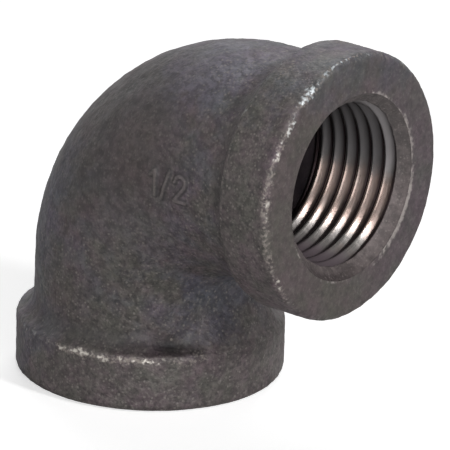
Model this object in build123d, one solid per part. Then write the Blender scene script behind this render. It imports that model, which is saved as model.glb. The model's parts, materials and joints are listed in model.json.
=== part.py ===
from build123d import *
import math
import os

# A 90-degree elbow for 1/2 inch threaded pipe, cast in malleable iron.
# Millimetres. The origin is the centre of the bottom port's face, +Z runs up that port's
# axis, and the side port looks along +X. Both port axes cross above the origin.

# --- driving dimensions -------------------------------------------------------------------

CENTRE_TO_END = 28.4        # from each port's face to the crossing of the two axes

CREST_RADIUS = 9.13         # bore that the thread's crests leave
THREAD_LENGTH = 12.2        # from the face to the end of the thread's crests
LAND_HEIGHT = 1.54          # how far the threaded land stands in from the cored passage

WALL = 2.67                 # metal between the passage and the outside of the bend
THROAT_RADIUS = 2.4         # inside corner of the bend, on the outside of the metal

BAND_STEP = 2.06            # how far the band round each mouth stands out from the bend
BAND_WIDTH = 6.9            # from the port's face to the band's back corner
BAND_EDGE_RADIUS = 0.9      # rounding of the band's two outer corners
BAND_ROOT_RADIUS = 2.4      # hollow curve from the band's back down to the bend
FLAT_TURN = 18.0            # degrees turned by each short flat that stands for a round
SAME_POINT = 1e-5           # two rounds that touch meet in one point, taken once

# --- sizes that follow --------------------------------------------------------------------

PASSAGE_RADIUS = CREST_RADIUS + LAND_HEIGHT
BODY_RADIUS = PASSAGE_RADIUS + WALL
BAND_RADIUS = BODY_RADIUS + BAND_STEP
LAND_DEPTH = THREAD_LENGTH + LAND_HEIGHT        # the land ends in a slope as long as it is high
CORE_OVERRUN = CENTRE_TO_END / 10               # how far the core passes each face

# The bend's centre line and the passage's share one radius, unless the passage has to turn
# tighter for its straight legs to hold the whole of the threaded lands.
BEND_RADIUS = BODY_RADIUS + THROAT_RADIUS
PASSAGE_BEND_RADIUS = min(BEND_RADIUS, CENTRE_TO_END - LAND_DEPTH)

# Each port's plane lies on its face. Its z axis points out of the mouth, so depths into
# the metal are negative.
BOTTOM_PORT = Plane(origin=(0, 0, 0), x_dir=(1, 0, 0), z_dir=(0, 0, -1))
SIDE_PORT = Plane(
    origin=(CENTRE_TO_END, 0, CENTRE_TO_END), x_dir=(0, 0, -1), z_dir=(1, 0, 0)
)


# --- the casting --------------------------------------------------------------------------

def bent_rod(radius, line_radius, overrun):
    """A round rod along the bent line from port to port, past both faces by overrun."""
    far = CENTRE_TO_END + overrun
    centre_line = FilletPolyline(
        (0, 0, -overrun), (0, 0, CENTRE_TO_END), (far, 0, CENTRE_TO_END),
        radius=line_radius,
    )
    section = Plane(origin=(0, 0, -overrun), z_dir=(0, 0, 1)) * Circle(radius)
    return sweep(section, path=centre_line)


def round_points(centre, radius, start, turn):
    """Points along a round, from the angle start and through turn degrees, for short flats."""
    flats = math.ceil(abs(turn) / FLAT_TURN)
    angles = [math.radians(start + turn * i / flats) for i in range(flats + 1)]
    return [
        (centre[0] + radius * math.cos(a), centre[1] + radius * math.sin(a)) for a in angles
    ]


def band_outline():
    """Half section of a band in the XZ plane: x is the radius, z the depth as a negative.

    The band has two rounded corners. Its back runs into the bend in an S: the round of the
    back corner turns into the hollow root curve. Where the step is higher than the two
    radii, a straight piece joins them.
    """
    both_radii = BAND_EDGE_RADIUS + BAND_ROOT_RADIUS
    turn = math.degrees(math.acos(max(0.0, 1 - BAND_STEP / both_radii)))

    front_centre = (BAND_RADIUS - BAND_EDGE_RADIUS, -BAND_EDGE_RADIUS)
    back_centre = (BAND_RADIUS - BAND_EDGE_RADIUS, BAND_EDGE_RADIUS - BAND_WIDTH)
    root_z = back_centre[1] - both_radii * math.sin(math.radians(turn))
    root_centre = (BODY_RADIUS + BAND_ROOT_RADIUS, root_z)

    rounds = [
        *round_points(front_centre, BAND_EDGE_RADIUS, 90, -90),
        *round_points(back_centre, BAND_EDGE_RADIUS, 0, -turn),
        *round_points(root_centre, BAND_ROOT_RADIUS, 180 - turn, turn),
    ]
    corners = [(0, 0)]
    for point in [*rounds, (0, root_z)]:
        if math.dist(point, corners[-1]) > SAME_POINT:
            corners.append(point)
    return Plane.XZ * make_face(Polyline(*corners, close=True))


def band():
    """The thick ring that reinforces a mouth, solid to its axis, with its root curve."""
    return revolve(band_outline(), axis=Axis.Z)


def elbow_casting():
    """The bend with a band round each mouth, cored out from face to face."""
    rod = bent_rod(BODY_RADIUS, BEND_RADIUS, -BAND_WIDTH / 2)   # it ends inside the bands
    core = bent_rod(PASSAGE_RADIUS, PASSAGE_BEND_RADIUS, CORE_OVERRUN)
    return rod + BOTTOM_PORT * band() + SIDE_PORT * band() - core


# --- the machined thread zones ------------------------------------------------------------

def thread_land():
    """The ring of metal in a mouth that carries the thread, as the tap drill leaves it.

    A 45-degree chamfer opens the mouth, the bore runs straight at the crest radius, and a
    45-degree slope at the back drops to the cored passage.
    """
    section = make_face(
        Polyline(
            (PASSAGE_RADIUS, 0),
            (CREST_RADIUS, -LAND_HEIGHT),
            (CREST_RADIUS, -THREAD_LENGTH),
            (PASSAGE_RADIUS, -LAND_DEPTH),
            close=True,
        )
    )
    return revolve(Plane.XZ * section, axis=Axis.Z)


# --- output -------------------------------------------------------------------------------

NODES = {
    "elbow_casting": elbow_casting(),
    "bottom_port_thread": BOTTOM_PORT * thread_land(),
    "side_port_thread": SIDE_PORT * thread_land(),
}

os.makedirs("parts", exist_ok=True)
for name, solid in NODES.items():
    export_step(solid, f"parts/{name}.step")
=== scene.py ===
"""A threaded 90-degree pipe elbow in black malleable iron, dressed round its solid frame.

All lengths are in metres. The bottom port's face is at the origin and looks down, and the
side port looks along +X.
"""

import json
import math

import bpy
import numpy as np
from bpy.props import FloatProperty, FloatVectorProperty, PointerProperty
from bpy.types import Operator, Panel, PropertyGroup
from mathutils import Matrix, Vector, noise


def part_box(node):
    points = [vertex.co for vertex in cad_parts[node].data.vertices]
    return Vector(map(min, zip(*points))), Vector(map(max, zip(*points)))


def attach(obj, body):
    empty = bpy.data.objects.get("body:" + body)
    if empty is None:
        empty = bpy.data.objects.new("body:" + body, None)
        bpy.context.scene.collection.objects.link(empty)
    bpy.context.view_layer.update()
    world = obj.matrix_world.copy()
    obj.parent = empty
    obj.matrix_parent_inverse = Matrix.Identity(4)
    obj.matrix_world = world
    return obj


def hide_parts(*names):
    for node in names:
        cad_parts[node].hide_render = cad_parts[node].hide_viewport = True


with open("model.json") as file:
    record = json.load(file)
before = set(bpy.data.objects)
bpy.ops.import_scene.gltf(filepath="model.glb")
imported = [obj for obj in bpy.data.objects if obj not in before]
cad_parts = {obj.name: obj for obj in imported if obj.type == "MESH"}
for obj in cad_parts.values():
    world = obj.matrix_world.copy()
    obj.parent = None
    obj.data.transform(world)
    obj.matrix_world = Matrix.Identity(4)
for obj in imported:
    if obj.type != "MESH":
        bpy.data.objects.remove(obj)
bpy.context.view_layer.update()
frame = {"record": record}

bl_info = {
    "name": "Threaded Pipe Elbow",
    "version": (1, 0, 0),
    "blender": (4, 5, 0),
    "location": "View3D > Sidebar > Elbow",
    "description": "Dresses the solid frame of a pipe elbow as black malleable iron",
    "category": "Object",
}

MM = 0.001

# --- sizes that the frame gives -----------------------------------------------------------

CASTING_LOW, CASTING_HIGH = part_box("elbow_casting")
CENTRE_TO_END = CASTING_HIGH.x
LAND_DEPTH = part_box("bottom_port_thread")[1].z
CREST_RADIUS = next(
    mount["dims"]["r_mm"] * MM
    for mount in frame["record"]["mounts"] if mount["name"] == "bottom_port"
)


# --- settings -----------------------------------------------------------------------------

def length(name, description, default):
    """A length setting, in metres."""
    return FloatProperty(
        name=name, description=description, default=default,
        min=0.0, soft_max=0.1, precision=5, unit="LENGTH", subtype="DISTANCE",
    )


def colour(name, description, default):
    """A linear colour setting."""
    return FloatVectorProperty(
        name=name, description=description, default=default,
        size=3, min=0.0, max=1.0, subtype="COLOR",
    )


def share(name, description, default, highest=1.0):
    """A plain number from zero up."""
    return FloatProperty(
        name=name, description=description, default=default,
        min=0.0, max=highest, subtype="FACTOR",
    )


def angle(name, description, default):
    """An angle setting, given here in degrees."""
    return FloatProperty(
        name=name, description=description, default=math.radians(default),
        unit="ROTATION", subtype="ANGLE",
    )


def power(name, description, default):
    """A lamp's power, in watts."""
    return FloatProperty(
        name=name, description=description, default=default, min=0.0, unit="POWER")


class ElbowSizes(PropertyGroup):
    """Sizes of the iron."""

    centre_to_end: length(
        "Centre to End", "From each port's face to the crossing of the axes", CENTRE_TO_END)
    wall: length("Wall", "Metal between the passage and the outside", 2.67 * MM)
    passage_radius: length("Passage Radius", "Of the cored passage", 10.67 * MM)
    throat_radius: length("Throat Radius", "Inside corner of the bend", 2.4 * MM)
    band_step: length("Band Step", "How far the bands stand out", 2.06 * MM)
    band_width: length("Band Width", "From the face to the band's back corner", 6.9 * MM)
    band_edge: length("Band Edge Radius", "Rounding of the band's corners", 0.9 * MM)
    band_root: length("Band Root Radius", "Hollow curve behind the band", 2.4 * MM)
    rim_edge: length("Rim Edge Radius", "Rounding of the mouth's rim", 0.11 * MM)
    crest_radius: length("Crest Radius", "Bore left by the thread's crests", CREST_RADIUS)
    land_depth: length("Land Depth", "How deep the threaded land reaches", LAND_DEPTH)
    pitch: length("Thread Pitch", "From groove to groove", 25.4 * MM / 14)
    groove_radius: length("Groove Radius", "Of the groove's floor at the mouth", 10.2 * MM)
    thread_start: length("Thread Start", "Depth of the first groove at the turn's zero", 1.65 * MM)
    waviness: length("Waviness", "Depth of the cast skin's hollows", 0.075 * MM)
    grit: length("Grit", "Height of the sand grains left on the skin", 0.04 * MM)
    mark_height: length("Size Mark Height", "Height of the raised size figures", 2.9 * MM)
    mark_relief: length("Size Mark Relief", "How far the size figures stand out", 0.3 * MM)


class ElbowFinish(PropertyGroup):
    """Colours of the iron's surfaces, as linear values."""

    skin_dark: colour("Skin Dark", "Sooty part of the cast skin", (0.050, 0.044, 0.044))
    skin_light: colour("Skin Light", "Bare part of the cast skin", (0.095, 0.086, 0.084))
    skin_warm: colour("Skin Warm", "Brown tint of the cast skin", (0.102, 0.075, 0.066))
    skin_cool: colour("Skin Cool", "Slate tint of the cast skin", (0.078, 0.079, 0.124))
    skin_plum: colour("Skin Plum", "Purple stains of the cast skin", (0.097, 0.064, 0.088))
    skin_moss: colour("Skin Moss", "Greenish stains of the cast skin", (0.063, 0.077, 0.063))
    speck: colour("Specks", "Light sand grains in the skin", (0.200, 0.180, 0.165))
    # Also the colour of the painted shade in the band roots, the dent and on the figures' slopes.
    pit_and_shade: colour("Pits", "Dark hollows between the grains", (0.020, 0.018, 0.020))
    # Partly worn metal, partly a painted highlight on the band corners.
    worn_edge_and_glint: colour("Worn Edge", "Rubbed metal on the edges", (0.56, 0.52, 0.47))
    # Worn lines on the top and back of the bend: partly worn metal, partly a painted highlight,
    # bluish as a painted reflection of the light above.
    worn_top_and_sky_glint: colour("Worn Top", "Rubbed metal on the upper edges", (0.53, 0.58, 0.61))
    scuffed: colour("Scuffed Edge", "Dull flecks beside the worn edges", (0.275, 0.240, 0.215))
    slate: colour("Slate", "Bluish stains", (0.052, 0.056, 0.078))
    umber: colour("Umber", "Brown stains", (0.080, 0.058, 0.056))
    # Partly a violet stain, partly a painted sheen on top where the light from above falls.
    bloom_and_top_sheen: colour("Bloom", "Violet stains on top", (0.135, 0.120, 0.160))
    passage_dark: colour("Passage Dark", "Hollows of the passage", (0.030, 0.022, 0.029))
    passage_light: colour("Passage Light", "Cored passage", (0.066, 0.050, 0.056))
    passage_fleck: colour("Passage Flecks", "Light grains in the passage", (0.09, 0.07, 0.06))
    face: colour("Port Face", "Flat end faces", (0.061, 0.052, 0.046))
    face_far: colour("Far Part of the Face", "End faces on the far side", (0.070, 0.057, 0.066))
    rim: colour("Rim", "Rubbed metal on the rim of the mouth", (0.40, 0.36, 0.34))
    thread: colour("Cut Thread", "Flanks of the thread", (0.090, 0.084, 0.080))
    turned: colour("Turned Lines", "Fine lines that the tap leaves", (0.20, 0.19, 0.18))
    # Painted reflection: the pinkish-beige band on the ridges beside the lamp's highlight.
    warm_reflection: colour("Thread Tarnish", "Pinkish tarnish on the thread", (0.20, 0.148, 0.130))
    haze: colour("Thread Haze", "Film of old oil on the thread", (0.088, 0.070, 0.078))
    # Painted dim reflection on the ridges over one arc of the bore.
    dim_reflection_tone: colour("Thread Oxide", "Dull part of the thread", (0.138, 0.131, 0.135))
    # Painted light: the first ridge is lighter near the mouth, where more light reaches.
    mouth_painted_light: colour("Oxide at the Mouth", "Dull part of the first ridge", (0.31, 0.29, 0.295))
    # Also used for the painted shade down the flanks, in the groove roots and on the slope behind
    # the thread, for the darker chamfer patch and for the painted shadow of the ragged edge.
    groove: colour("Thread Groove", "Oil and dust in the grooves", (0.024, 0.016, 0.017))
    chamfer: colour("Chamfer", "Dull cut round the mouth", (0.098, 0.080, 0.079))
    # Painted dim reflection on the chamfer over the same arc.
    chamfer_dim_reflection: colour("Dull Chamfer", "Its dullest part", (0.060, 0.065, 0.062))
    chamfer_fleck: colour("Chamfer Flecks", "Light specks on it", (0.24, 0.21, 0.20))
    fleck: share("Flecks", "Strength of the light specks", 0.6)


class StageSettings(PropertyGroup):
    """Camera, lamps and floor."""

    azimuth: angle("Azimuth", "Camera's place round the elbow", 39.306)
    elevation: angle("Elevation", "Camera's height over the horizon", 19.213)
    roll: angle("Roll", "Turn of the camera about its line of sight", 1.271)
    distance: length("Distance", "From the camera to the crossing of the axes", 759.43 * MM)
    lens: FloatProperty(
        name="Lens", description="Focal length in millimetres", default=537.4,
        min=1.0, unit="CAMERA")
    aim_right: length("Aim Right", "Right of the crossing of the axes", 7.922 * MM)
    aim_below: length("Aim Below", "Below the crossing of the axes", 10.779 * MM)
    floor: colour("Floor", "Pale floor", (0.86, 0.86, 0.86))
    floor_glow: share("Floor Glow", "Light that the floor shows to the camera alone", 0.6)
    room: share("Room Light", "Even light from all sides", 0.05, 2.0)
    key: power("Key Lamp", "Small lamp that looks into the side port", 3.6)
    near: power("Near Lamp", "Low broad lamp near the camera", 3.4)
    front: power("Front Lamp", "Low broad lamp in front of the bend", 1.0)
    back: power("Back Lamp", "High lamp behind the bend", 2.5)


# --- mesh helpers -------------------------------------------------------------------------

def closed_grid(name, rings):
    """A mesh from rings of points, closed both round each ring and from ring to ring."""
    rows, columns = rings.shape[:2]
    i, j = np.meshgrid(np.arange(rows), np.arange(columns), indexing="ij")
    after, beside = (i + 1) % rows, (j + 1) % columns
    quads = np.stack(
        [i * columns + j, i * columns + beside, after * columns + beside, after * columns + j],
        -1,
    ).reshape(-1, 4)
    mesh = bpy.data.meshes.new(name)
    mesh.vertices.add(rows * columns)
    mesh.vertices.foreach_set("co", rings.reshape(-1).astype(np.float32))
    mesh.loops.add(quads.size)
    mesh.loops.foreach_set("vertex_index", quads.reshape(-1).astype(np.int32))
    mesh.polygons.add(len(quads))
    mesh.polygons.foreach_set("loop_start", np.arange(0, quads.size, 4, dtype=np.int32))
    mesh.polygons.foreach_set("use_smooth", np.ones(len(quads), dtype=bool))
    mesh.update(calc_edges=True)
    mesh.validate()
    return mesh


def keep(mesh, name, values, kind="FLOAT", field="value"):
    """Stores one value per point on the mesh, for a material to read."""
    layer = mesh.attributes.new(name, kind, "POINT")
    layer.data.foreach_set(field, values.reshape(-1).astype(np.float32))


def paint_rows(mesh, slots, columns):
    """Gives each row of faces its material slot."""
    mesh.polygons.foreach_set(
        "material_index", np.repeat(np.asarray(slots, dtype=np.int32), columns)
    )


def add_piece(name, mesh, materials, node):
    """Puts a finished mesh in the scene as the piece that stands for a node."""
    piece = bpy.data.objects.new(name, mesh)
    bpy.context.scene.collection.objects.link(piece)
    for material in materials:
        mesh.materials.append(material)
    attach(piece, "root")
    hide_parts(node)


def steps(start, end, spacing):
    """Evenly spaced numbers from start up to but without end, about spacing apart."""
    count = max(1, round(abs(end - start) / spacing))
    return start + (end - start) * np.arange(count) / count


def fine_steps(start, end, spacing, fine, low, high):
    """Numbers from start to end about spacing apart, and fine apart from low to high."""
    return np.concatenate([
        steps(start, low, spacing), steps(low, high, fine), steps(high, end, spacing)])


def ease(x):
    """Smooth rise from 0 to 1 as x goes from 0 to 1."""
    x = np.clip(x, 0.0, 1.0)
    return x * x * (3 - 2 * x)


def bell(x, width):
    """A bell curve, 1 at x = 0."""
    return np.exp(-((x / width) ** 2))


def degrees_off(angles, middle):
    """How many degrees each angle lies off the middle, either way round."""
    return np.abs((np.degrees(angles) - middle + 180) % 360 - 180)


def uneven(points, size, seed):
    """Smooth noise from about -1 to 1 at each point. size is the width of its lumps."""
    shift = Vector((seed * 7.31, seed * 3.77, seed * 5.19))
    flat = points.reshape(-1, 3) / size
    values = [noise.noise(Vector(p) + shift) for p in flat]
    return np.array(values).reshape(points.shape[:-1])


# --- the bent line ------------------------------------------------------------------------

NEAR_WAY = np.array([0.0, -1.0, 0.0])


def bent_line(along, end, radius):
    """Centre points, and the ways outward and forward, along the line from port to port.

    Outward points to the back of the bend and is square to NEAR_WAY.
    """
    leg = end - radius
    turn = np.clip((along - leg) / radius, 0, math.pi / 2)
    past = np.maximum(0, along - leg - radius * math.pi / 2)
    zero = np.zeros_like(along)
    centre = np.stack(
        [radius * (1 - np.cos(turn)) + past, zero, np.minimum(along, leg) + radius * np.sin(turn)],
        -1,
    )
    outward = np.stack([-np.cos(turn), zero, np.sin(turn)], -1)
    forward = np.stack([np.sin(turn), zero, np.cos(turn)], -1)
    return centre, outward, forward


def bent_length(end, radius):
    """Length of the bent line from port to port."""
    return 2 * (end - radius) + radius * math.pi / 2


def bent_rings(along, radius, end, bend, angles):
    """Rings of points round the bent line, the way out at each point, and the way ahead."""
    centre, outward, forward = bent_line(along, end, bend)
    out = np.cos(angles)[None, :, None] * outward[:, None, :]
    out = out + np.sin(angles)[None, :, None] * NEAR_WAY
    return centre[:, None, :] + radius[:, None, None] * out, out, forward[:, None, :]


# --- the raised size figures --------------------------------------------------------------

# The figures stand on the near side of the bend, where the skin looks along -Y.
MARK_PLACE = Vector((13.0 * MM, 0.0, 28.35 * MM))
MARK_ALONG = (30.6 * MM, 38.4 * MM)                       # refined stretch of the bent line
MARK_ROUND = (math.radians(82.5), math.radians(97.5))     # refined stretch round the bend
MARK_SPACING = 0.15 * MM
STROKE_HALF_WIDTH = 0.21 * MM
STROKE_SLOPE = 0.16 * MM
STROKE_FULLNESS = 0.25          # the slopes lie further out by this share of their width

# Strokes of the figures for a half-inch size, one figure high, from their left foot.
SIZE_FIGURES = (
    ((0.02, 0.76), (0.24, 1.0), (0.24, 0.0)),
    ((0.56, -0.06), (0.92, 1.06)),
    ((1.22, 0.74), (1.27, 0.90), (1.40, 0.99), (1.56, 0.99), (1.69, 0.90), (1.73, 0.74),
     (1.68, 0.56), (1.20, 0.0), (1.76, 0.0)),
)


def figure_share(points, sizes):
    """1 on the size figures and 0 off them, with sloped edges."""
    tall = sizes.mark_height
    wide = max(x for stroke in SIZE_FIGURES for x, _ in stroke)
    right = (points[..., 0] - MARK_PLACE.x) / tall + wide / 2
    up = (points[..., 2] - MARK_PLACE.z) / tall + 0.5
    away = np.full(right.shape, np.inf)
    for stroke in SIZE_FIGURES:
        for (x0, y0), (x1, y1) in zip(stroke, stroke[1:]):
            run_x, run_y = x1 - x0, y1 - y0
            part = ((right - x0) * run_x + (up - y0) * run_y) / (run_x**2 + run_y**2)
            part = np.clip(part, 0.0, 1.0)
            off_line = np.hypot(right - x0 - part * run_x, up - y0 - part * run_y)
            away = np.minimum(away, off_line)
    inside = (STROKE_HALF_WIDTH + STROKE_SLOPE - away * tall) / (2 * STROKE_SLOPE)
    return ease(inside + STROKE_FULLNESS) * (points[..., 1] < 0)


# --- the casting --------------------------------------------------------------------------

RING_POINTS = 296
SKIN_SPACING = 0.36 * MM
PASSAGE_SPACING = 1.0 * MM
RIM_ROWS, EDGE_ROWS, ROOT_ROWS = 5, 12, 10
SKIN, PASSAGE = range(2)
FACE_FADE = 1.6                 # how soon the look of the face ends on the front corner
BACK_CORNER = 0.45              # where on its round the back corner is sharpest
ROOT_HOLLOW = 0.15, 0.85        # the root's part of a sine's half wave: start and length

# What the sand mould leaves on the skin: widths, heights and depths of lumps, nicks in the
# bands' corners, the parting seam, the passage and the faces.
BROAD_WIDTH, LUMP_WIDTH, SMALL_WIDTH, GRIT_WIDTH = 5.2 * MM, 1.9 * MM, 0.95 * MM, 0.66 * MM
BROAD_SHARE, LUMP_SHARE, SMALL_SHARE = 0.9, 0.6, 0.55       # of the waviness
BAND_REACH, BAND_SINK = 6.5 * MM, 0.9       # the bands' skin lies lower, to keep their size
NICK_WIDTH, NICK_DEPTH, NICK_REACH = 0.7 * MM, 0.1 * MM, 0.35 * MM
NICK_LEVEL, NICK_SOFT = 0.12, 0.35          # noise above this level is a nick
SEAM_WIDTH, SEAM_HEIGHT = 0.3 * MM, 0.035 * MM
CORE_WIDTH, CORE_HEIGHT, CORE_CALM_ROWS = 1.6 * MM, 0.05 * MM, 4.0
FACE_DEPTH = 0.012 * MM
RIM_CALM, RIM_CALM_FULLNESS = 0.16 * MM, 1.6        # the rim stays smooth this far each way

# A dent that the mould left in the bottom band's root: angle, depth from the face.
DENT_TURN, DENT_TURN_WIDTH = math.radians(138.5), math.radians(6.5)
DENT_DEPTH, DENT_DEPTH_WIDTH = 7.65 * MM, 0.55 * MM
# The dent's depth, and how much painted shade darkens it.
DENT_SINK, DENT_SHADE = 0.42 * MM, 1.9

# Past the dent the metal ran fuller into the root, up to a slope between two depths.
FILL_START, FILL_END, FILL_SOFT = (math.radians(degrees) for degrees in (145, 215, 15))
FILL_FROM, FILL_TO = 6.35 * MM, 11.0 * MM
FILL_SOFTNESS = 0.25 * MM
FILL_LEAST_TURN = 0.2           # keeps skin that looks along the slope from moving too far

# The bottom band's root is painted with shade round to this angle, and with less past it.
ROOT_SHADE_END, ROOT_SHADE_SOFT = math.radians(145), math.radians(22)
LIGHT_ROOT_SHADE, SIDE_ROOT_SHADE = 0.25, 0.8

# Where the bands' corners and the rim are worn: angle round the band in degrees from the
# back of the bend towards -Y, half width in degrees, strength, reach in millimetres and how
# far past the corner the middle lies. A line on a band's corner is bright, partly worn metal
# and partly a painted highlight; scuffs are dull flecks beside it.
SIDE_LINE = (
    (33, 11, 1.05, 0.6, 0.0), (31, 4, 1.6, 0.3, 0.2), (49, 8, 0.95, 0.28, -0.3),
    (12, 18, 0.62, 0.2, 0.2), (63, 10, 0.62, 0.4, -0.1), (82, 16, 0.45, 0.5, 0.0),
    (123, 6, 0.6, 0.3, -0.3), (300, 60, 0.35, 0.3, 0.0),
)
SIDE_SCUFFS = (
    (8, 24, 0.9, 0.24, 0.2), (33, 15, 0.75, 0.75, 0.0), (55, 18, 0.8, 0.55, -0.2),
    (78, 24, 0.85, 0.7, 0.1), (102, 24, 0.72, 0.62, 0.0), (125, 16, 0.6, 0.5, -0.2),
    (300, 70, 0.4, 0.5, 0.0),
)
SIDE_BACK_SCUFFS = ((21, 12, 0.55, 0.9, -1.5), (75, 50, 0.3, 0.6, 0.0))
BOTTOM_LINE = (
    (98, 9, 1.05, 0.42, -0.05), (109, 5, 0.85, 0.4, -0.35), (119, 6, 1.05, 0.36, -0.2),
    (129, 10, 0.6, 0.42, -0.3), (88, 6, 0.62, 0.35, -0.3), (250, 60, 0.35, 0.4, 0.0),
)
BOTTOM_SCUFFS = (
    (96, 16, 0.9, 0.62, -0.3), (119, 20, 0.85, 0.6, -0.3), (146, 14, 0.8, 0.5, -0.4),
    (151, 6, 0.8, 0.32, 0.3), (140, 2, 1.3, 0.22, 2.6), (250, 60, 0.5, 0.5, 0.0),
)
RIM_LINE = (
    (330, 45, 0.8, 0.3, 0.15), (286, 34, 1.2, 0.36, 0.2), (236, 56, 1.45, 0.42, 0.28),
    (160, 34, 0.55, 0.26, 0.1), (118, 12, 1.1, 0.2, 0.1), (60, 60, 0.7, 0.16, 0.0),
)
WEAR_ALL_ROUND = (0, 999, 0.2, 0.4, 0.0)
WEAR_FULLNESS = 1.25            # a place is fully worn over its middle fifth


def band_profile(sizes):
    """Half section of a band from the mouth's rim to the bend: one row per point.

    Columns: depth from the face, radius, the two parts of the outward normal, how far past
    the rim and the front and back corners the point lies, root hollow, flat face.
    """
    passage, rim, edge = sizes.passage_radius, sizes.rim_edge, sizes.band_edge
    body = passage + sizes.wall
    band = body + sizes.band_step
    both = edge + sizes.band_root
    turn = math.acos(max(0.0, 1 - sizes.band_step / both))
    root_depth = sizes.band_width - edge + both * math.sin(turn)
    quarter = math.pi / 2
    rows = []

    def add(depth, radius, normal_depth, normal_radius, hollow=0.0, flat=0.0):
        rows.append([depth, radius, normal_depth, normal_radius, hollow, flat])

    for a in np.linspace(0, quarter, RIM_ROWS):
        add(rim * (1 - math.sin(a)), passage + rim * (1 - math.cos(a)),
            -math.sin(a), -math.cos(a), flat=a / quarter)
    for r in steps(passage + rim, band - edge, SKIN_SPACING)[1:]:
        add(0.0, r, -1.0, 0.0, flat=1.0)
    for a in np.linspace(0, quarter, EDGE_ROWS):
        add(edge * (1 - math.cos(a)), band - edge + edge * math.sin(a),
            -math.cos(a), math.sin(a), flat=max(0.0, 1 - FACE_FADE * a / quarter))
    for d in steps(edge, sizes.band_width - edge, SKIN_SPACING)[1:]:
        add(d, band, 0.0, 1.0)
    for a in np.linspace(0, turn, ROOT_ROWS):
        add(sizes.band_width - edge + edge * math.sin(a), band - edge + edge * math.cos(a),
            math.sin(a), math.cos(a))
    start, stretch = ROOT_HOLLOW
    for a in np.linspace(turn, 0, ROOT_ROWS)[1:]:
        add(root_depth - sizes.band_root * math.sin(a),
            body + sizes.band_root * (1 - math.cos(a)), math.sin(a), math.cos(a),
            hollow=math.sin(math.pi * (start + stretch * a / turn)))

    rows = np.array(rows)
    legs = np.hypot(*np.diff(rows[:, :2], axis=0).T)
    run = np.concatenate([[0.0], np.cumsum(legs)])
    to_front = rim * quarter + (band - edge - passage - rim) + edge * quarter / 2
    to_back = to_front + edge * quarter / 2 + sizes.band_width - 2 * edge
    to_back = to_back + BACK_CORNER * edge * turn
    past = run[:, None] - np.array([rim / 2, to_front, to_back])
    return np.hstack([rows[:, :4], past, rows[:, 4:]]), root_depth


def wear(angles, past, places):
    """How worn the skin is, given the angle round the band and the way past an edge."""
    level = np.zeros((len(past), len(angles)))
    for middle, half_width, strength, reach, shift in (WEAR_ALL_ROUND, *places):
        arc = ease(WEAR_FULLNESS * (1 - degrees_off(angles, middle) / half_width))
        spread = bell(past - shift * MM, reach * MM)[:, None]
        level = np.maximum(level, strength * arc * spread)
    return level


def casting_grid(sizes):
    """Points of the whole casting, their outward directions and the marks of wear."""
    end = sizes.centre_to_end
    body = sizes.passage_radius + sizes.wall
    bend = body + sizes.throat_radius
    passage_bend = min(bend, end - sizes.land_depth)
    total, passage_total = bent_length(end, bend), bent_length(end, passage_bend)

    # Rows along the bent line: both bands' profiles, with the plain bend between them.
    profile, root_depth = band_profile(sizes)
    middle = fine_steps(
        root_depth, total - root_depth, SKIN_SPACING, MARK_SPACING, *MARK_ALONG)[1:]
    along = np.concatenate([profile[:, 0], middle, total - profile[::-1, 0]])
    radius = np.concatenate([profile[:, 1], np.full(len(middle), body), profile[::-1, 1]])
    lift = np.concatenate([profile[:, 2], np.zeros(len(middle)), -profile[::-1, 2]])
    spread = np.concatenate([profile[:, 3], np.ones(len(middle)), profile[::-1, 3]])
    marks, far = profile[:, 4:], np.zeros((len(middle), 5))
    far[:, :3] = 1.0            # metres past the rim and the corners: out of their reach
    to_rim, to_front, to_back, root, flat = np.concatenate([marks, far, marks[::-1]]).T
    side = (along > total / 2)[:, None]

    wide, fine = 2 * math.pi / RING_POINTS, MARK_SPACING / body
    angles = fine_steps(0, 2 * math.pi, wide, fine, *MARK_ROUND)
    outer, out, forward = bent_rings(along, radius, end, bend, angles)
    inside = steps(passage_total - sizes.rim_edge, sizes.rim_edge, PASSAGE_SPACING)[1:]
    passage = np.full(len(inside), sizes.passage_radius)
    inner, inner_out, _ = bent_rings(inside, passage, end, passage_bend, angles)

    def worn(past, side_places, bottom_places):
        return np.where(
            side, wear(angles, past, side_places), wear(angles, past, bottom_places))

    corner = np.maximum(bell(to_front, NICK_REACH), bell(to_back, NICK_REACH))
    return {
        "outer": outer, "inner": inner, "inner_ways": -inner_out,
        "outer_ways": lift[:, None, None] * forward + spread[:, None, None] * out,
        "angles": angles, "side": side, "depth": np.minimum(along, total - along),
        "to_slope": way_to_slope(along, radius, lift, spread, sizes),
        "corner": corner[:, None],
        "calm": 1 - ease(RIM_CALM_FULLNESS * bell(to_rim, RIM_CALM)),
        "root": root, "flat_face": flat,
        # Bright corner lines: partly worn metal, partly a painted highlight.
        "rubbed": np.maximum(
            worn(to_front, SIDE_LINE, ()), worn(to_back, (), BOTTOM_LINE)),
        "scuffed": np.maximum(
            worn(to_front, SIDE_SCUFFS, ()), worn(to_back, SIDE_BACK_SCUFFS, BOTTOM_SCUFFS)),
        "rim": worn(to_rim, RIM_LINE, RIM_LINE),
    }


def way_to_slope(depth, radius, lift, spread, sizes):
    """How far each row of skin moves out to a straight slope that fills a band's root."""
    body = sizes.passage_radius + sizes.wall
    run, rise = FILL_TO - FILL_FROM, sizes.band_step
    away = (FILL_TO - depth) * rise + (body - radius) * run
    away = np.where(depth > FILL_FROM, away, -run * rise)
    way = away / np.maximum(FILL_LEAST_TURN * run, lift * rise + spread * run)
    soft = (way + FILL_SOFTNESS).clip(0.0, 2 * FILL_SOFTNESS) ** 2 / (4 * FILL_SOFTNESS)
    return np.where(way > FILL_SOFTNESS, way, soft)


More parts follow.
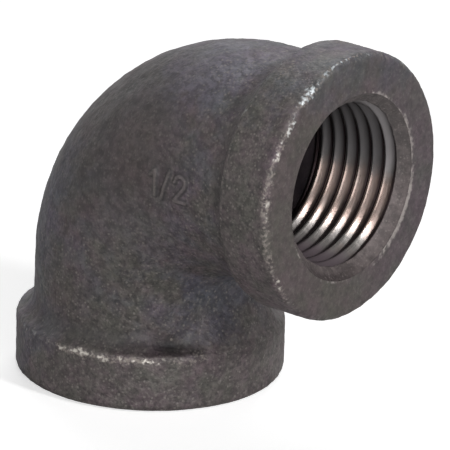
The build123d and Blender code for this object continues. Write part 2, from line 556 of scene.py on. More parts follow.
def bottom_root(grid):
    """The dent in the bottom band's root and the full stretch past it, as shares."""
    angles, bottom = grid["angles"], ~grid["side"]
    turn = bell(angles - DENT_TURN, DENT_TURN_WIDTH)[None, :]
    sink = bell(grid["depth"] - DENT_DEPTH, DENT_DEPTH_WIDTH)[:, None]
    filled = ease((angles - FILL_START) / FILL_SOFT) * ease((FILL_END - angles) / FILL_SOFT)
    return turn * sink * bottom, filled[None, :] * bottom


def root_shade(grid, dent):
    """How much painted shade darkens the bands' roots and the dent."""
    shaded = ease((ROOT_SHADE_END - grid["angles"]) / ROOT_SHADE_SOFT)[None, :]
    shaded = LIGHT_ROOT_SHADE + (1 - LIGHT_ROOT_SHADE) * shaded
    shaded = np.where(grid["side"], SIDE_ROOT_SHADE, shaded)
    return grid["root"][:, None] * shaded + DENT_SHADE * dent


def skin_height(grid, sizes, dent, filled, figures):
    """How far each point of the skin moves out, from sand, nicks, seam, root and figures."""
    points, deep = grid["outer"], sizes.waviness
    broad = uneven(points, BROAD_WIDTH, 1)
    lumps = uneven(points, LUMP_WIDTH, 2)
    small = uneven(points, SMALL_WIDTH, 3)
    grit = uneven(points, GRIT_WIDTH, 6)
    height = deep * (BROAD_SHARE * broad + LUMP_SHARE * lumps + SMALL_SHARE * small)
    height = height + sizes.grit * grit
    on_band = (grid["depth"] < BAND_REACH)[:, None]
    height = height - BAND_SINK * deep * on_band

    nicks = ease((uneven(points, NICK_WIDTH, 4) - NICK_LEVEL) / NICK_SOFT)
    height = height - NICK_DEPTH * nicks * grid["corner"] * (0.35 + grid["rubbed"])
    seam = bell(points[..., 1], SEAM_WIDTH) * (0.6 + 0.8 * lumps)
    height = height + SEAM_HEIGHT * seam * ~on_band
    height = height - DENT_SINK * dent + filled * grid["to_slope"][:, None]
    height = height + sizes.mark_relief * figures

    cast = (1 - grid["flat_face"])[:, None]
    height = height * cast - FACE_DEPTH * (1 + lumps) * (1 - cast)
    return height * grid["calm"][:, None]


def build_casting(sizes):
    """The casting's mesh, with the marks that its materials read."""
    grid = casting_grid(sizes)
    dent, filled = bottom_root(grid)
    figures = figure_share(grid["outer"], sizes)
    height = skin_height(grid, sizes, dent, filled, figures)
    outer = grid["outer"] + height[..., None] * grid["outer_ways"]

    reach, columns = grid["inner"].shape[:2]
    core = CORE_HEIGHT * uneven(grid["inner"], CORE_WIDTH, 5)
    rows_in = np.minimum(np.arange(reach), np.arange(reach)[::-1])
    core = core * ease(rows_in / CORE_CALM_ROWS)[:, None]
    inner = grid["inner"] + core[..., None] * grid["inner_ways"]

    rings = np.concatenate([outer, inner])
    mesh = closed_grid(
        "elbow_body", np.clip(rings, np.array(CASTING_LOW), np.array(CASTING_HIGH)))

    marks = {
        "rubbed": grid["rubbed"], "scuffed": grid["scuffed"], "rim": grid["rim"],
        # Painted shade in the band roots and the dent.
        "hollow": root_shade(grid, dent),
        "flat_face": np.repeat(grid["flat_face"][:, None], columns, 1), "figures": figures,
    }
    for name, rows in marks.items():
        keep(mesh, name, np.concatenate([rows, np.zeros((reach, columns))]))
    paint_rows(mesh, [SKIN] * len(outer) + [PASSAGE] * reach, columns)
    return mesh


# --- the threads --------------------------------------------------------------------------

THREAD_POINTS = 360
ROWS_PER_PITCH = 26
FIRST_ROW = 0.02 * MM                   # the rows start this far inside the face
SEAT_REACH = 0.03 * MM                  # the hidden outer wall reaches into the casting

FLANK_SLOPE = 1.26
CREST_ROUND = 0.26 * MM                 # how softly the flanks turn into the crests
ROOT_FLAT = 0.06 * MM
ROOT_TAPER = 1 / 64                     # the grooves' radius shrinks by this along the axis
GROOVE_FADE = (0.95 * MM, 1.5 * MM)     # the grooves run out towards the chamfer

CHAMFER_SHIFT = 0.08 * MM               # the cut chamfer lies this far outside the frame's
CHAMFER_SOFT = 0.04 * MM
RAGGED_HEIGHT, RAGGED_START = 0.2 * MM, 0.8 * MM    # the cut is ragged below the start
RAGGED_WIDTH = 0.12                     # as a share of the radius

# How far in the marks on the iron reach, and how softly they end: the painted light on the
# first ridge, the darker chamfer patch, the painted shadow of the ragged edge and the
# painted shade on the slope behind the thread.
FIRST_RIDGE_END, FIRST_RIDGE_SOFT = 3.9 * MM, 0.9 * MM
DARK_PATCH_DEPTH, DARK_PATCH_SOFT = 0.35 * MM, 0.7 * MM
BURR_WIDTH, BACK_SOFT = 0.2 * MM, 0.35 * MM
TURNED_SCALE = np.array([250.0, 250.0, 7000.0])     # lines long round the bore, fine along it

# Where a thread is oily, where its colour is a painted dim or warm reflection, and where the
# chamfer is darker or carries the painted shadow of its ragged edge: middle, half width and
# softness of the arc in degrees, round from the port's own x axis towards its y axis.
SIDE_ZONES = {
    "oiled": (-112, 36, 34), "dulled": (75, 82, 30), "tarnished": (-31, 22, 14),
    "grimed": (-112, 22, 30), "burred": (-33, 50, 24),
}
BOTTOM_ZONES = {
    "oiled": (-60, 60, 60), "dulled": (110, 70, 60), "tarnished": (20, 30, 40),
    "grimed": (30, 30, 50), "burred": (150, 90, 60),
}


def within(angles, middle, half_width, soft):
    """1 inside an arc of the ring and 0 outside it, with soft ends, all in degrees."""
    return ease((half_width - degrees_off(angles, middle)) / soft + 0.5)


def thread_radius(depth, turn, sizes):
    """Inside radius of the cut thread at a depth and an angle, and its grooves' floor."""
    phase = (depth - sizes.thread_start) / sizes.pitch + turn / (2 * math.pi)
    off = np.abs(phase - np.round(phase)) * sizes.pitch
    floor = sizes.groove_radius - ROOT_TAPER * depth
    cut = floor - FLANK_SLOPE * np.maximum(0, off - ROOT_FLAT)
    low, high = GROOVE_FADE
    share_cut = ease((depth - low) / (high - low))
    cut = (cut - sizes.crest_radius) * share_cut
    near = np.maximum(0, CREST_ROUND - np.abs(cut))
    cut = np.maximum(cut, 0) + near**2 / (4 * CREST_ROUND) * share_cut
    return sizes.crest_radius + cut, floor


def build_thread(name, sizes, place, zones):
    """One port's threaded land, from the chamfer to the slope behind the thread.

    It is made in the port's own frame: x and y across the bore, z into the metal.
    """
    depth = steps(FIRST_ROW, sizes.land_depth, sizes.pitch / ROWS_PER_PITCH)
    depth = np.append(depth, sizes.land_depth)
    turn = 2 * math.pi * np.arange(THREAD_POINTS) / THREAD_POINTS
    d, a = np.meshgrid(depth, turn, indexing="ij")
    cut, floor = thread_radius(d, a, sizes)
    round_port = np.stack([np.cos(a), np.sin(a), np.full_like(a, place.translation.x)], -1)
    ragged = RAGGED_HEIGHT * uneven(round_port, RAGGED_WIDTH, 8)
    chamfer = sizes.passage_radius + CHAMFER_SHIFT - d + ragged * ease(d / RAGGED_START)
    slope = sizes.passage_radius - (sizes.land_depth - d)
    seat = sizes.passage_radius + SEAT_REACH
    radius = np.minimum(np.maximum(np.maximum(cut, chamfer), slope), seat)

    land_height = sizes.passage_radius - sizes.crest_radius
    sunk = (radius - sizes.crest_radius) / (floor - sizes.crest_radius)
    # Painted shade: the slope behind the thread counts as the bottom of a groove, so it is
    # coloured dark.
    sunk = np.maximum(sunk, ease((d - (sizes.land_depth - land_height)) / BACK_SOFT))
    cone = ease((chamfer - radius) / CHAMFER_SOFT + 1)

    # Three rows of the hidden outer wall close the ring, from the back to the face.
    wall = np.array([sizes.land_depth, 0.5 * sizes.land_depth, FIRST_ROW])
    closing = np.ones((len(wall), THREAD_POINTS))
    radius = np.concatenate([radius, seat * closing])
    d = np.concatenate([d, wall[:, None] * closing])
    a, ragged = (np.concatenate([rows, rows[:len(wall)]]) for rows in (a, ragged))
    local = np.stack([radius * np.cos(a), radius * np.sin(a), d], -1)
    rings = local @ np.array(place.to_3x3()).T + np.array(place.translation)
    mesh = closed_grid(name, rings[::-1])

    only = {
        # The chamfer is darker over one arc near the face.
        "grimed": ease(1 - (d - DARK_PATCH_DEPTH) / DARK_PATCH_SOFT),
        # Painted shadow of the chamfer's ragged edge.
        "burred": bell(d - (land_height + CHAMFER_SHIFT) - ragged, BURR_WIDTH),
    }
    marks = {
        "sunk": np.concatenate([sunk, closing]),
        "cone": np.concatenate([cone, 0 * closing]),
        "mouth": ease((FIRST_RIDGE_END - d) / FIRST_RIDGE_SOFT),
        **{zone: within(a, *arc) * only.get(zone, 1.0) for zone, arc in zones.items()},
    }
    for mark, rows in marks.items():
        keep(mesh, mark, rows[::-1])
    keep(mesh, "turned", (local * TURNED_SCALE)[::-1], "FLOAT_VECTOR", "vector")
    return mesh


# --- shader helpers -----------------------------------------------------------------------

def titled(values):
    """The values under the names of their sockets, such as Base Color for base_color."""
    return {key.replace("_", " ").title(): value for key, value in values.items()}


class Wires:
    """Adds shader nodes to one tree, in a row, and joins them."""

    def __init__(self, tree):
        self.tree = tree
        self.place = None       # output that gives the place in millimetres
        tree.nodes.clear()

    def add(self, kind, inputs=None, **settings):
        """A node. Each input is a constant or the output of another node."""
        node = self.tree.nodes.new(kind)
        node.location = (220 * len(self.tree.nodes), 0)
        for key, value in settings.items():
            setattr(node, key, value)
        for key, value in (inputs or {}).items():
            if isinstance(value, bpy.types.NodeSocket):
                self.tree.links.new(value, node.inputs[key])
            else:
                node.inputs[key].default_value = value
        return node

    def math(self, operation, a, b=0.0, clamp=False):
        return self.add(
            "ShaderNodeMath", {0: a, 1: b}, operation=operation, use_clamp=clamp
        ).outputs[0]

    def plus(self, a, b, clamp=False):
        return self.math("ADD", a, b, clamp)

    def times(self, a, b, clamp=False):
        return self.math("MULTIPLY", a, b, clamp)

    def mix(self, factor, a, b, blend="MIX"):
        a, b = (c if isinstance(c, bpy.types.NodeSocket) else (*c, 1.0) for c in (a, b))
        return self.add(
            "ShaderNodeMix", {0: factor, 6: a, 7: b}, data_type="RGBA", blend_type=blend
        ).outputs[2]

    def fade(self, value, low, high, start=0.0, end=1.0):
        """A smooth change from start to end as the value goes from low to high."""
        return self.add(
            "ShaderNodeMapRange",
            {"Value": value, "From Min": low, "From Max": high, "To Min": start, "To Max": end},
            interpolation_type="SMOOTHSTEP",
        ).outputs[0]

    def noise(self, scale, detail, roughness, seed=None, vector=None):
        inputs = {"Vector": vector or self.place, "Scale": scale, "Detail": detail,
                  "Roughness": roughness, **({} if seed is None else {"W": seed})}
        dimensions = "3D" if seed is None else "4D"
        return self.add(
            "ShaderNodeTexNoise", inputs, noise_dimensions=dimensions
        ).outputs["Fac"]

    def distance(self, point):
        """How far the place lies off a point, in millimetres."""
        return self.add(
            "ShaderNodeVectorMath", {0: self.place, 1: point}, operation="DISTANCE"
        ).outputs["Value"]

    def attribute(self, name, output="Fac"):
        return self.add("ShaderNodeAttribute", attribute_name=name).outputs[output]

    def group(self, name, **inputs):
        """A shared effect with its own values."""
        inputs = {"Place": self.place, **titled(inputs)}
        tree = bpy.data.node_groups[name]
        return self.add("ShaderNodeGroup", inputs, node_tree=tree).outputs

    def give(self, **results):
        """Joins the results to an effect's outputs."""
        self.add("NodeGroupOutput", titled(results))


def effect(name, numbers, results):
    """A new effect that gives numbers for a place: the wires and the inputs of its group."""
    tree = bpy.data.node_groups.new(name, "ShaderNodeTree")
    tree.interface.new_socket(name="Place", in_out="INPUT", socket_type="NodeSocketVector")
    for key, default in numbers.items():
        socket = tree.interface.new_socket(
            name=key, in_out="INPUT", socket_type="NodeSocketFloat")
        socket.default_value = default
    for key in results:
        tree.interface.new_socket(name=key, in_out="OUTPUT", socket_type="NodeSocketFloat")
    wires = Wires(tree)
    given = wires.add("NodeGroupInput").outputs
    wires.place = given["Place"]
    return wires, given


def effect_groups():
    """The effects that several materials share, built once."""
    if "Sand Grain" in bpy.data.node_groups:
        return
    w, given = effect(
        "Sand Grain", {"Per Millimetre": 3.0, "Seed": 0.0},
        ["Flecks", "Pits", "Mottle", "Height"])
    scale, seed = given["Per Millimetre"], given["Seed"]
    fine = w.noise(scale, 1.5, 0.5, seed)
    coarse = w.noise(w.times(scale, 0.4), 2.5, 0.5, seed)
    grains = w.add(
        "ShaderNodeTexVoronoi", {"Vector": w.place, "W": seed, "Scale": scale},
        voronoi_dimensions="4D",
    ).outputs
    lit = w.fade(w.add("ShaderNodeSeparateColor", {0: grains["Color"]}).outputs[0], 0.4, 0.95)
    lit = w.times(lit, w.fade(grains["Distance"], 0.6, 0.25))
    flecks = w.math("MAXIMUM", lit, w.fade(fine, 0.55, 0.7, 0.0, 0.5))
    height = w.plus(w.times(fine, 0.7), w.times(coarse, 1.9))
    height = w.plus(height, w.times(flecks, 0.2))
    w.give(flecks=flecks, pits=w.fade(fine, 0.45, 0.34), mottle=w.fade(coarse, 0.32, 0.68),
           height=height)

    w, given = effect("Tone Patches", {"Patch Size": 6.0, "Seed": 0.0}, ["Tone", "Tint"])
    scale = w.math("DIVIDE", 1.0, given["Patch Size"])
    tone = w.noise(scale, 4.0, 0.55, given["Seed"])
    tint = w.noise(w.times(scale, 1.7), 3.0, 0.6, w.plus(given["Seed"], 31.0))
    w.give(tone=w.fade(tone, 0.3, 0.7), tint=w.fade(tint, 0.3, 0.7))

    w, given = effect(
        "Edge Wear", {"Worn": 0.0, "Per Millimetre": 2.4, "Breakup": 0.9}, ["Mask"])
    broken = w.math("SUBTRACT", w.noise(given["Per Millimetre"], 2.0, 0.5), 0.5)
    broken = w.times(broken, given["Breakup"])
    shown = w.fade(w.plus(given["Worn"], w.times(broken, 2.0)), 0.4, 1.5)
    w.give(mask=w.times(shown, w.fade(given["Worn"], 0.05, 0.4)))

    w, given = effect(
        "Oil Film", {"Per Millimetre": 0.5, "Dry": 0.62, "Wet": 0.42}, ["Roughness"])
    film = w.noise(given["Per Millimetre"], 4.0, 0.6)
    w.give(roughness=w.add(
        "ShaderNodeMapRange",
        {"Value": film, "From Min": 0.35, "From Max": 0.65,
         "To Min": given["Dry"], "To Max": given["Wet"]},
    ).outputs[0])


def new_material(name):
    """An empty material and its wires."""
    effect_groups()
    material = bpy.data.materials.new(name)
    material.use_nodes = True
    wires = Wires(material.node_tree)
    here = wires.add("ShaderNodeTexCoord").outputs["Object"]
    wires.place = wires.add(
        "ShaderNodeVectorMath", {0: here, "Scale": 1 / MM}, operation="SCALE"
    ).outputs[0]
    return material, wires


def close_material(wires, base, roughness, height, depth, metallic=0.0):
    """Joins colour, roughness and relief to the shader and the output."""
    normal = wires.add(
        "ShaderNodeBump", {"Strength": 1.0, "Distance": depth, "Height": height}
    ).outputs[0]
    shader = wires.add(
        "ShaderNodeBsdfPrincipled",
        {"Base Color": base, "Roughness": roughness, "Normal": normal, "Metallic": metallic},
    )
    wires.add("ShaderNodeOutputMaterial", {"Surface": shader.outputs[0]})


# --- materials ----------------------------------------------------------------------------

# The side of the bend is darker than the rest. In millimetres.
DARKER_PLACE = (1.0, -10.5, 34.5)

# Stains on the cast skin: middle and reach in millimetres, strength and colour.
STAINS = (
    ((13.0, -3.4, 13.0), 7.0, 0.55, "slate"),
    ((-4.1, -11.1, 24.5), 6.0, 0.35, "slate"),
    ((-4.4, -13.4, 7.3), 5.0, 0.4, "slate"),
    # Partly a violet stain, partly a painted sheen on top.
    ((12.6, -5.1, 40.6), 7.0, 0.4, "bloom_and_top_sheen"),
    ((-2.2, -13.2, 11.8), 5.0, 0.4, "umber"),
    ((8.2, -11.9, 30.2), 7.0, 0.4, "umber"),
    ((7.2, -13.0, 21.5), 7.0, 0.35, "skin_light"),
)

# Relief of the finest grain and lines, which only the shading shows.
CAST_RELIEF, PASSAGE_RELIEF, CUT_RELIEF = 0.085 * MM, 0.1 * MM, 0.02 * MM


def mottled(w, grain, base, low, high):
    """A colour made darker and lighter from grain to grain."""
    tone = w.mix(grain["Mottle"], (low, low, low), (high, high, high))
    return w.mix(1.0, base, tone, "MULTIPLY")


def skin_tones(w, finish, at, flat, painted_top_sheen, patches):
    """Sooty and bare patches, with slate, brown, plum and greenish tints over them, and a cooler
    tint as a painted sheen on the top and back of the bend.
    """
    skin = w.mix(patches["Tone"], finish.skin_dark, finish.skin_light)
    skin = w.mix(w.fade(at["Z"], 24.0, 12.0, 0.0, 0.36), skin, finish.skin_light)
    face = w.mix(w.fade(at["Y"], -2.0, 11.0), finish.face, finish.face_far)
    skin = w.mix(flat, skin, face)
    bands = w.math("MAXIMUM", w.fade(at["Z"], 12.0, 5.0), w.fade(at["X"], 18.0, 22.0))
    # Painted sheen: the tint turns cooler on the top and back of the bend.
    rust = w.plus(patches["Tint"], w.fade(painted_top_sheen, 0.0, 1.0, 0.25, -0.7))
    rust = w.plus(rust, w.times(bands, 0.6), clamp=True)
    tint = w.mix(rust, finish.skin_cool, finish.skin_warm)
    skin = w.mix(w.fade(flat, 0.0, 1.0, 0.5, 0.3), skin, tint)
    stains = w.group("Tone Patches", patch_size=5.5, seed=6.0)
    tint = w.mix(stains["Tint"], finish.skin_plum, finish.skin_moss)
    return w.mix(w.fade(flat, 0.0, 1.0, 0.42, 0.3), skin, tint)


def skin_stains(w, finish, skin, patches, from_darker_place):
    """The darker side of the bend, and stains with uneven edges."""
    skin = w.mix(w.fade(from_darker_place, 17.0, 7.0, 0.0, 0.66), skin, finish.skin_dark)
    ragged = w.fade(patches["Tint"], 0.0, 1.0, -1.5, 1.5)
    for middle, reach, strength, tint in STAINS:
        away = w.plus(w.distance(middle), ragged)
        stained = w.fade(away, reach, 0.3 * reach, 0.0, strength)
        skin = w.mix(stained, skin, getattr(finish, tint))
    return skin


def skin_grain(w, finish, skin, grain, flat, from_darker_place):
    """Mottling, light sand grains and dark pits, weaker on the flat faces."""
    calm = w.fade(flat, 0.0, 1.0, 1.0, 0.6)
    skin = w.mix(calm, skin, mottled(w, grain, skin, 0.7, 1.3))
    sandy = w.times(calm, w.fade(from_darker_place, 9.0, 20.0, 0.55, 1.2))
    flecks = w.times(grain["Flecks"], w.times(sandy, finish.fleck))
    skin = w.mix(flecks, skin, finish.speck)
    return w.mix(w.times(grain["Pits"], w.times(sandy, 0.4)), skin, finish.pit_and_shade)


def skin_wear(w, finish, skin, painted_top_sheen):
    """Figures, roots and worn edges: the colour, and where bright metal shows. The roots, the
    dent and the figures' slopes get painted shade, the figures' tops a painted highlight, and
    the bright corner lines are partly worn metal, partly painted highlight.
    """
    line, scuffs, rim = (
        w.group(
            "Edge Wear", worn=w.attribute(mark), per_millimetre=scale, breakup=breakup)["Mask"]
        for mark, scale, breakup in (
            ("rubbed", 2.0, 2.2), ("scuffed", 2.6, 2.0), ("rim", 1.5, 1.3))
    )
    figures = w.attribute("figures")
    # Painted shade on the figures' slopes.
    foot = w.times(w.times(figures, w.math("SUBTRACT", 1.0, figures)), 2.8)
    shaded = w.plus(w.times(w.attribute("hollow"), 0.42), foot, clamp=True)
    # Painted highlight: the figures' tops are lighter.
    skin = w.mix(w.times(figures, 0.3), skin, finish.speck)
    # Painted shade in the roots, the dent and on the figures' slopes.
    skin = w.mix(shaded, skin, finish.pit_and_shade)
    skin = w.mix(w.times(scuffs, 0.75), skin, finish.scuffed)
    skin = w.mix(w.times(rim, 0.8), skin, finish.rim)
    # Bright corner lines, partly worn metal and partly painted highlight, bluish on top as a
    # painted reflection.
    return w.mix(line, skin, w.mix(painted_top_sheen, finish.worn_edge_and_glint, finish.worn_top_and_sky_glint)), line


def cast_skin_material(finish):
    """Black iron as the sand mould leaves it: patchy, speckled and worn bright on its edges, with
    painted shade in its roots and a painted sheen and highlights on top.
    """
    material, w = new_material("black_iron_cast_skin")
    flat = w.attribute("flat_face")
    at = w.add("ShaderNodeSeparateXYZ", {0: w.place}).outputs
    # Painted sheen: the top and the back of the bend get a cooler tint and bluish worn lines, as
    # light from above and behind falls there.
    painted_top_sheen = w.math("MAXIMUM", w.fade(at["Z"], 33.0, 44.0), w.fade(at["X"], 0.0, -12.0))
    from_darker_place = w.distance(DARKER_PLACE)
    patches = w.group("Tone Patches", patch_size=5.0, seed=2.0)
    grain = w.group("Sand Grain", per_millimetre=2.9, seed=4.0)

    skin = skin_tones(w, finish, at, flat, painted_top_sheen, patches)
    skin = skin_stains(w, finish, skin, patches, from_darker_place)
    skin = skin_grain(w, finish, skin, grain, flat, from_darker_place)
    skin, bright = skin_wear(w, finish, skin, painted_top_sheen)

    film = w.group("Oil Film", per_millimetre=0.45, dry=0.66, wet=0.5)
    rough = w.times(film["Roughness"], w.fade(bright, 0.0, 1.0, 1.0, 0.75))
    relief = w.times(grain["Height"], w.fade(flat, 0.0, 1.0, 1.0, 0.45))
    close_material(w, skin, rough, relief, CAST_RELIEF, metallic=0.25)
    return material


def passage_material(finish):
    """The cored passage: rough, rusty black."""
    material, w = new_material("cored_passage")
    patches = w.group("Tone Patches", patch_size=3.0, seed=9.0)
    grain = w.group("Sand Grain", per_millimetre=2.2, seed=1.0)
    skin = w.mix(patches["Tone"], finish.passage_dark, finish.passage_light)
    skin = w.mix(w.times(grain["Flecks"], 0.3), skin, finish.passage_fleck)
    film = w.group("Oil Film", dry=0.8, wet=0.62)
    close_material(w, skin, film["Roughness"], grain["Height"], PASSAGE_RELIEF)
    return material


def thread_metal(w, finish, patches, lines, sunk, oiled, dulled):
    """Turned metal with painted reflections over arcs of the bore, warm in one, dim in another
    and lighter near the mouth, oily in places, and with painted shade down the flanks and in
    the grooves, where there is also oil and dust.
    """
    # Painted warm reflection over one arc of the bore.
    tarnished = w.plus(
        w.attribute("tarnished"), w.fade(patches["Tint"], 0.0, 1.0, -0.3, 0.2), clamp=True)
    metal = w.mix(tarnished, finish.thread, finish.warm_reflection)
    metal = w.mix(w.fade(lines, 0.35, 0.7, 0.0, 0.22), metal, finish.turned)
    # Painted light on the first ridge near the mouth.
    dim_reflection_tone = w.mix(w.attribute("mouth"), finish.dim_reflection_tone, finish.mouth_painted_light)
    # Painted dim reflection over one arc of the bore.
    metal = w.mix(dulled, metal, dim_reflection_tone)
    # Painted shade: each flank darkens towards the groove, which makes the ridges look round.
    metal = w.mix(w.fade(sunk, 0.3, 0.85, 0.0, 0.36), metal, finish.groove)
    metal = w.mix(oiled, metal, finish.haze)
    # Painted shade with oil and dust in the groove roots, weaker where oily.
    in_groove = w.times(w.fade(sunk, 0.76, 0.95), w.fade(oiled, 0.0, 1.0, 1.0, 0.3))
    return w.mix(in_groove, metal, finish.groove)


def chamfer_metal(w, finish, grain, dulled):
    """The dull cut round the mouth, mottled and flecked, with a painted dim reflection over one
    arc and a darker patch near the face.
    """
    dull = mottled(w, grain, finish.chamfer, 0.72, 1.25)
    dull = w.mix(w.times(dulled, 0.3), dull, finish.chamfer_dim_reflection)
    # Darker over one arc of the chamfer near the face.
    dull = w.mix(w.times(w.attribute("grimed"), 0.6), dull, finish.groove)
    return w.mix(w.times(grain["Flecks"], 0.4), dull, finish.chamfer_fleck)


def cut_thread_material(finish):
    """Thread cut by a tap: turned metal on the flanks, and a dull chamfer whose ragged edge casts
    a painted shadow.
    """
    material, w = new_material("cut_thread")
    sunk, cone = w.attribute("sunk"), w.attribute("cone")
    lines = w.noise(1.0, 3.0, 0.6, vector=w.attribute("turned", "Vector"))
    patches = w.group("Tone Patches", patch_size=2.2, seed=5.0)
    grain = w.group("Sand Grain", per_millimetre=3.6, seed=8.0)
    uneven_by = w.fade(patches["Tone"], 0.0, 1.0, -0.14, 0.14)
    oiled = w.fade(w.plus(w.attribute("oiled"), uneven_by), 0.0, 1.0)
    dulled = w.fade(w.plus(w.attribute("dulled"), uneven_by), 0.0, 1.0, 0.0, 0.85)
    # Painted shadow: a dark ragged line where the chamfer meets the thread.
    burr_shadow_mask = w.group(
        "Edge Wear", worn=w.attribute("burred"), per_millimetre=1.6, breakup=1.0)["Mask"]
    burr_shadow_mask = w.times(burr_shadow_mask, 1.6, clamp=True)

    metal = thread_metal(w, finish, patches, lines, sunk, oiled, dulled)
    iron = w.mix(cone, metal, chamfer_metal(w, finish, grain, dulled))
    iron = w.mix(burr_shadow_mask, iron, finish.groove)

    rough = w.fade(lines, 0.3, 0.7, 0.19, 0.26)
    for mask, rougher in (
            (oiled, 0.25), (burr_shadow_mask, 0.4), (cone, 0.3), (dulled, 0.12), (sunk, 0.15)):
        rough = w.plus(rough, w.times(mask, rougher), clamp=True)
    metallic = w.math("SUBTRACT", 0.9, w.times(cone, 0.6), clamp=True)
    grained = w.times(grain["Height"], w.fade(cone, 0.0, 1.0, 0.4, 1.6))
    relief = w.plus(w.times(lines, 0.5), grained)
    close_material(w, iron, rough, relief, CUT_RELIEF, metallic)
    return material


# --- operators ----------------------------------------------------------------------------

FLOOR_HALF, FLOOR_LEVEL = 1.6, -0.03 * MM
FLOOR_GLOW = (100.0, 700.0)     # the floor turns white over this stretch, in millimetres
LAMP_TARGET, LAMP_DISTANCE = Vector((6 * MM, 0.0, 22 * MM)), 0.9

# Soft square lamps aimed at the elbow: name, the setting of its power, length of its sides,
# azimuth and height in degrees.
LAMPS = (
    ("key_lamp", "key", 0.1, 89, 32),
    ("near_lamp", "near", 0.5, 45, 12),
    ("front_lamp", "front", 0.5, 10, 10),
    ("back_lamp", "back", 0.5, 215, 50),
)


def way_towards(azimuth, elevation):
    """The direction at an azimuth, counted from -Y towards +X, and an elevation."""
    level = math.cos(elevation)
    return Vector((
        math.sin(azimuth) * level, -math.cos(azimuth) * level, math.sin(elevation)))


class ELBOW_OT_stage(Operator):
    """Make the camera, the lamps, the pale floor and the light of the room"""

    bl_idname = "elbow.stage"
    bl_label = "Stage"

    def execute(self, context):
        scene = context.scene
        for part in (self.add_camera, self.add_room, self.add_floor, self.add_lamps):
            part(scene, scene.elbow_stage)
        scene.view_settings.view_transform = "Standard"
        return {"FINISHED"}

    def add_camera(self, scene, stage):
        """A camera at the stage's azimuth, elevation and distance, turned to its aim."""
        back = way_towards(stage.azimuth, stage.elevation)
        level = Vector((math.cos(stage.azimuth), math.sin(stage.azimuth), 0.0))
        right = math.cos(stage.roll) * level + math.sin(stage.roll) * back.cross(level)
        up = back.cross(right)
        middle = Vector((0.0, 0.0, scene.elbow_sizes.centre_to_end))
        aim = middle + stage.aim_right * right - stage.aim_below * up
        place = middle + stage.distance * back
        z = (place - aim).normalized()
        x = (right - right.dot(z) * z).normalized()
        turned = Matrix((x, z.cross(x), z)).transposed().to_4x4()
        data = bpy.data.cameras.new("camera")
        data.sensor_width = 36.0
        data.lens = stage.lens
        data.clip_start, data.clip_end = 0.01, 10.0
        camera = bpy.data.objects.new("camera", data)
        camera.matrix_world = Matrix.Translation(place) @ turned
        scene.collection.objects.link(camera)
        scene.camera = camera

    def add_room(self, scene, stage):
        """A white room to the camera and in reflections, and a softer even light."""
        world = bpy.data.worlds.new("room")
        world.use_nodes = True
        w = Wires(world.node_tree)
        path = w.add("ShaderNodeLightPath").outputs
        seen = w.math("MAXIMUM", path["Is Camera Ray"], path["Is Glossy Ray"])
        seen = w.math("MAXIMUM", seen, path["Is Transmission Ray"])
        strength = w.fade(seen, 0.0, 1.0, stage.room, 1.0)
        background = w.add(
            "ShaderNodeBackground", {"Color": (1.0, 1.0, 1.0, 1.0), "Strength": strength})
        w.add("ShaderNodeOutputWorld", {"Surface": background.outputs[0]})
        scene.world = world

    def add_floor(self, scene, stage):
        """A plain pale floor that shows white to the camera away from the elbow."""
        corners = [
            (x * FLOOR_HALF, y * FLOOR_HALF, FLOOR_LEVEL)
            for x, y in ((-1, -1), (1, -1), (1, 1), (-1, 1))]
        mesh = bpy.data.meshes.new("floor")
        mesh.from_pydata(corners, [], [(0, 1, 2, 3)])
        material, w = new_material("pale_floor")
        path = w.add("ShaderNodeLightPath").outputs
        glow = w.fade(w.distance((0.0, 0.0, 0.0)), *FLOOR_GLOW, stage.floor_glow, 1.0)
        shader = w.add(
            "ShaderNodeBsdfPrincipled",
            {"Base Color": (*stage.floor, 1.0), "Roughness": 0.9, "Specular IOR Level": 0.1,
             "Emission Color": (1.0, 1.0, 1.0, 1.0),
             "Emission Strength": w.times(path["Is Camera Ray"], glow)},
        )
        w.add("ShaderNodeOutputMaterial", {"Surface": shader.outputs[0]})
        mesh.materials.append(material)
        floor = bpy.data.objects.new("floor", mesh)
        scene.collection.objects.link(floor)

    def add_lamps(self, scene, stage):
        """The lamps of the table, all at one distance from the elbow."""
        for name, setting, size, azimuth, height in LAMPS:
            way = way_towards(math.radians(azimuth), math.radians(height))
            data = bpy.data.lights.new(name, "AREA")
            data.energy, data.size = getattr(stage, setting), size
            lamp = bpy.data.objects.new(name, data)
            lamp.location = LAMP_TARGET + LAMP_DISTANCE * way
            lamp.rotation_euler = (-way).to_track_quat("-Z", "Y").to_euler()
            scene.collection.objects.link(lamp)


class ELBOW_OT_casting(Operator):
    """Make the bent body with its two banded mouths, as cast"""

    bl_idname = "elbow.casting"
    bl_label = "Casting"

    def execute(self, context):
        finish = context.scene.elbow_finish
        mesh = build_casting(context.scene.elbow_sizes)
        materials = [cast_skin_material(finish), passage_material(finish)]
        add_piece("elbow_body", mesh, materials, "elbow_casting")
        return {"FINISHED"}


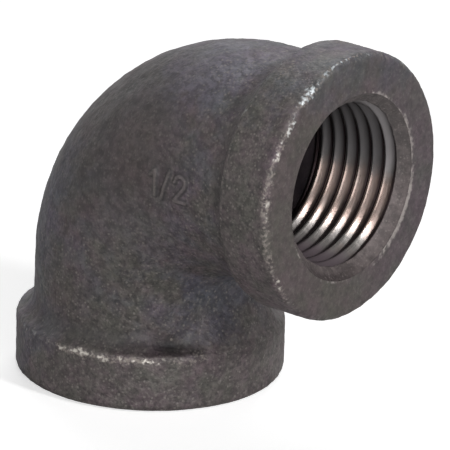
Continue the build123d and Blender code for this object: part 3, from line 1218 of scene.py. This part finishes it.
class ELBOW_OT_threads(Operator):
    """Cut the pipe thread in both mouths"""

    bl_idname = "elbow.threads"
    bl_label = "Threads"

    def execute(self, context):
        sizes = context.scene.elbow_sizes
        material = cut_thread_material(context.scene.elbow_finish)
        end = sizes.centre_to_end
        # Each port's own frame: x and y across the bore, z from the face into the metal.
        side_port = Matrix(((0, 0, -1, end), (1, 0, 0, 0), (0, 1, 0, end), (0, 0, 0, 1)))
        ports = (
            ("bottom_thread", "bottom_port_thread", Matrix.Identity(4), BOTTOM_ZONES),
            ("side_thread", "side_port_thread", side_port, SIDE_ZONES),
        )
        for name, node, place, zones in ports:
            mesh = build_thread(name, sizes, place, zones)
            if place.to_3x3().determinant() < 0:
                mesh.flip_normals()
            add_piece(name, mesh, [material], node)
        return {"FINISHED"}


class ELBOW_PT_sidebar(Panel):
    """Settings and steps of the elbow"""

    bl_idname = "ELBOW_PT_sidebar"
    bl_label = "Pipe Elbow"
    bl_space_type = "VIEW_3D"
    bl_region_type = "UI"
    bl_category = "Elbow"

    def draw(self, context):
        layout = self.layout
        for step in STEPS:
            layout.operator(step.bl_idname)
        for settings in ("elbow_sizes", "elbow_finish", "elbow_stage"):
            box = layout.box()
            owner = getattr(context.scene, settings)
            for key in owner.__annotations__:
                box.prop(owner, key)


SETTINGS = (
    ("elbow_sizes", ElbowSizes), ("elbow_finish", ElbowFinish), ("elbow_stage", StageSettings),
)
STEPS = (ELBOW_OT_stage, ELBOW_OT_casting, ELBOW_OT_threads)


def register():
    for key, settings in SETTINGS:
        bpy.utils.register_class(settings)
        setattr(bpy.types.Scene, key, PointerProperty(type=settings))
    for kind in (*STEPS, ELBOW_PT_sidebar):
        bpy.utils.register_class(kind)


def unregister():
    for kind in (ELBOW_PT_sidebar, *reversed(STEPS)):
        bpy.utils.unregister_class(kind)
    for key, settings in reversed(SETTINGS):
        delattr(bpy.types.Scene, key)
        bpy.utils.unregister_class(settings)


def main():
    register()
    bpy.ops.elbow.stage()
    bpy.ops.elbow.casting()
    bpy.ops.elbow.threads()


if __name__ == "__main__":
    main()
